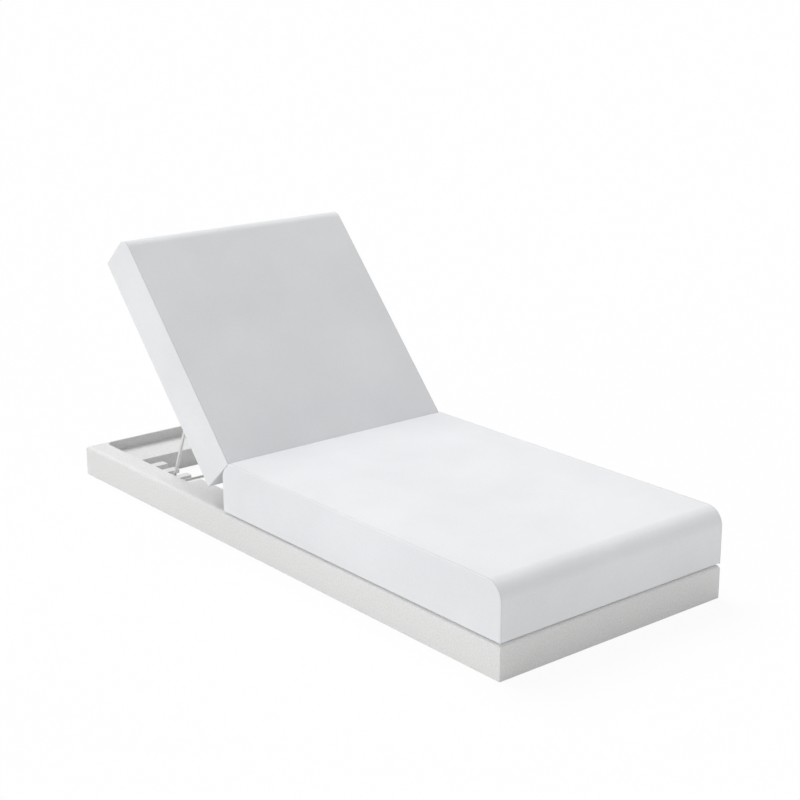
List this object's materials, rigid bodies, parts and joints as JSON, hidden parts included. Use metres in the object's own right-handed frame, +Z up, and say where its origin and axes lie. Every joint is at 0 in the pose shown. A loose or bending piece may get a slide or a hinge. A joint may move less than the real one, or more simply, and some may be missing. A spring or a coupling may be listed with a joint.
{
  "type": "sun lounger",
  "caption": "Low outdoor sun lounger with a moulded base, a hinged back panel held by a steel bail, and two box cushions.",
  "frame": {"origin": "on the ground under the middle of the base", "axes": "+Z up, +Y along the lounger from the foot end to the head end, +X across it"},
  "size_m": [0.8, 2, 0.8209],
  "materials": {
    "base_resin": "fine grained moulded resin",
    "panel_resin": "fine grained moulded resin",
    "rubber": "matt",
    "seat_fabric": "woven outdoor fabric",
    "back_fabric": "woven outdoor fabric",
    "foam": "open cell foam",
    "zip_tape": "nylon coil",
    "hinge_steel": "satin stainless",
    "bail_steel": "polished stainless",
    "nylon": "satin"
  },
  "bodies": {
    "base": {"base_shell": "base_resin", "foot_pads": "rubber", "seat_pads": "rubber", "panel_bumpers": "rubber", "seat_cushion_cover": "seat_fabric", "seat_cushion_foam": "foam", "seat_cushion_zip": "zip_tape", "hinge_base_plate_left": "hinge_steel", "hinge_base_plate_right": "hinge_steel", "hinge_pin_left": "hinge_steel", "hinge_pin_right": "hinge_steel", "base_hinge_screws": "hinge_steel"},
    "backrest": {"back_panel": "panel_resin", "panel_grip_strips": "rubber", "hinge_panel_leaf_left": "hinge_steel", "hinge_panel_leaf_right": "hinge_steel", "panel_hinge_screws": "hinge_steel", "bail_bush_left": "nylon", "bail_bush_right": "nylon"},
    "back_cushion": {"back_cushion_cover": "back_fabric", "back_cushion_foam": "foam", "back_cushion_zip": "zip_tape"},
    "bail": {"support_bail": "bail_steel"}
  },
  "joints": [
    {"name": "backrest_tilt", "type": "hinge", "parent": "base", "child": "backrest", "pos_m": [0, 0.2251, 0.079], "axis": [1, 0, 0], "range_deg": [-47.8, 0]},
    {"name": "cushion_slide", "type": "slide", "parent": "backrest", "child": "back_cushion", "axis": [0, 0.6717, 0.7408], "range_m": [-0.1136, 0]},
    {"name": "bail_swing", "type": "hinge", "parent": "backrest", "child": "bail", "pos_m": [0, 0.46591, 0.34458], "axis": [1, 0, 0], "range_deg": [0, 112.8]}
  ],
  "couplings": [
    {"joint": "cushion_slide", "follows": "backrest_tilt", "m_per_rad": 0.136}
  ]
}
